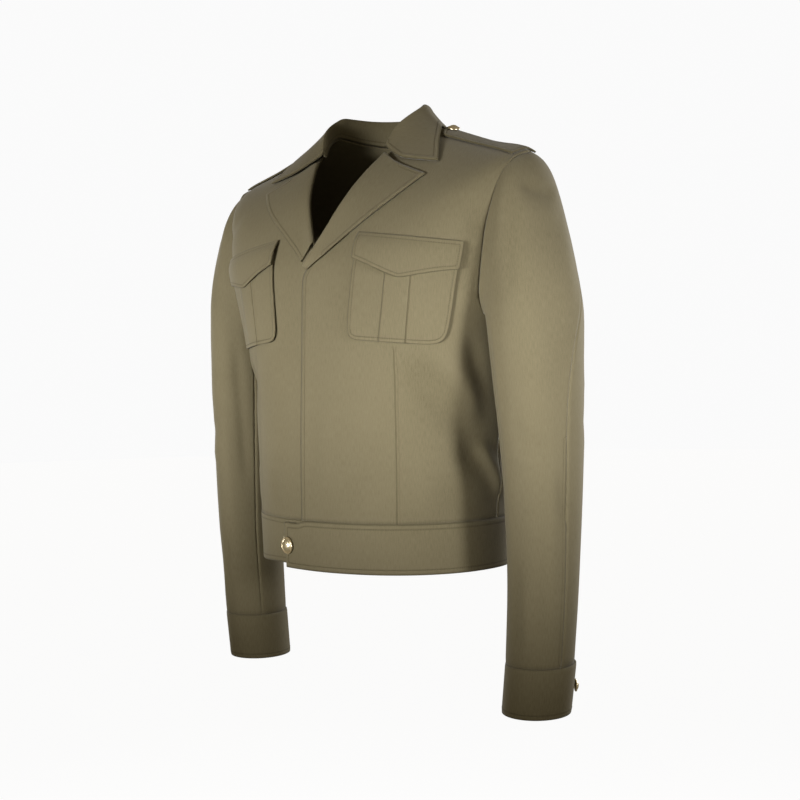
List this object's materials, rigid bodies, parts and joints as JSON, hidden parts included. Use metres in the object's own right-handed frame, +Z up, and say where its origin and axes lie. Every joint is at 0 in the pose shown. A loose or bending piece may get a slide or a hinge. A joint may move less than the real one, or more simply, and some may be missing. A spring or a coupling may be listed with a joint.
{
  "type": "ike jacket",
  "caption": "Waist-length uniform jacket with notched lapels, pleated chest pockets, shoulder straps and a fitted waistband, worn and buttoned.",
  "frame": {"origin": "on the body's upright axis, level with the points where the shoulders meet the neck, where the wearer holds the jacket up", "axes": "+Z up, -Y out of the front, +X to the wearer's left"},
  "size_m": [0.5578, 0.2713, 0.7043],
  "materials": {
    "serge": "olive drab wool serge, fine twill, slight sheen",
    "brass": "pale, softly polished"
  },
  "bodies": {
    "root": {"back": "serge", "front_left": "serge", "front_right": "serge", "lapel_left": "serge", "lapel_right": "serge", "collar": "serge", "sleeve_top_left": "serge", "sleeve_under_left": "serge", "sleeve_top_right": "serge", "sleeve_under_right": "serge", "cuff_left": "serge", "cuff_right": "serge", "waistband": "serge", "pocket_left": "serge", "pocket_right": "serge", "flap_left": "serge", "flap_right": "serge", "epaulet_left": "serge", "epaulet_right": "serge", "button_waist": "brass", "button_epaulet_left": "brass", "button_epaulet_right": "brass", "button_cuff_left": "brass", "button_cuff_right": "brass"}
  },
  "joints": []
}
